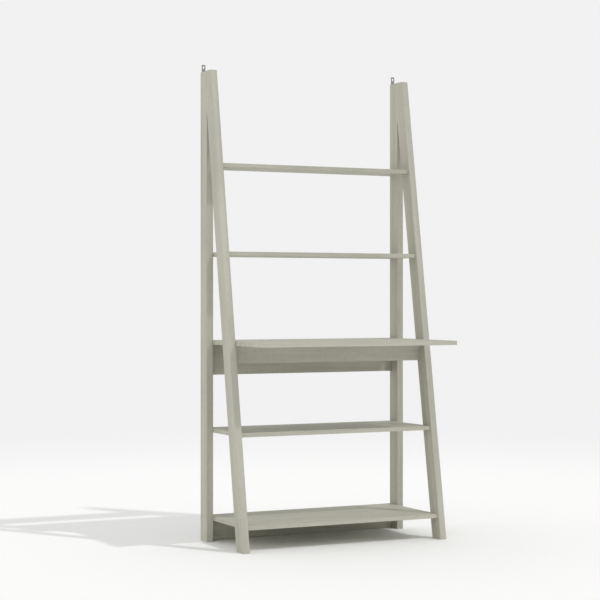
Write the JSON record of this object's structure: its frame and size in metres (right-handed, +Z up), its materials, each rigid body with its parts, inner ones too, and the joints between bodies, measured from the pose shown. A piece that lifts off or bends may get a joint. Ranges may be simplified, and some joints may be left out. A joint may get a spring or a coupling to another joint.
{
  "type": "ladder desk",
  "caption": "Ladder desk: raked front legs and upright rear posts form side frames that carry open shelves above and below a deeper desk top, with plates for wall fixing.",
  "frame": {"origin": "on the floor, at the middle of the outline's width and depth", "axes": "+Z up, -Y towards the person at the desk, +X to that person's right"},
  "size_m": [0.85, 0.514, 1.806],
  "materials": {
    "painted_wood": "satin paint",
    "plate_steel": "dull zinc plating",
    "plated_steel": "bright zinc plating",
    "cast_zinc": "as cast",
    "bare_beech": "bare wood"
  },
  "bodies": {
    "root": {"left_rear_post": "painted_wood", "right_rear_post": "painted_wood", "left_front_leg": "painted_wood", "right_front_leg": "painted_wood", "top_shelf": "painted_wood", "upper_shelf": "painted_wood", "desk_top": "painted_wood", "lower_shelf": "painted_wood", "bottom_shelf": "painted_wood", "desk_back_rail": "painted_wood", "desk_front_rail": "painted_wood", "plinth_rail": "painted_wood", "left_wall_plate": "plate_steel", "right_wall_plate": "plate_steel", "top_shelf_cams": "cast_zinc", "top_shelf_cam_bolts": "plated_steel", "top_shelf_dowels": "bare_beech", "upper_shelf_cams": "cast_zinc", "upper_shelf_cam_bolts": "plated_steel", "upper_shelf_dowels": "bare_beech", "desk_top_cams": "cast_zinc", "desk_top_cam_bolts": "plated_steel", "desk_top_dowels": "bare_beech", "lower_shelf_cams": "cast_zinc", "lower_shelf_cam_bolts": "plated_steel", "lower_shelf_dowels": "bare_beech", "bottom_shelf_cams": "cast_zinc", "bottom_shelf_cam_bolts": "plated_steel", "bottom_shelf_dowels": "bare_beech", "desk_back_rail_cams": "cast_zinc", "desk_back_rail_cam_bolts": "plated_steel", "desk_back_rail_dowels": "bare_beech", "desk_front_rail_cams": "cast_zinc", "desk_front_rail_cam_bolts": "plated_steel", "desk_front_rail_dowels": "bare_beech", "plinth_rail_cams": "cast_zinc", "plinth_rail_cam_bolts": "plated_steel", "plinth_rail_dowels": "bare_beech", "apex_dowels": "bare_beech", "apex_screws": "plated_steel", "wall_plate_screws": "plated_steel"}
  },
  "joints": []
}
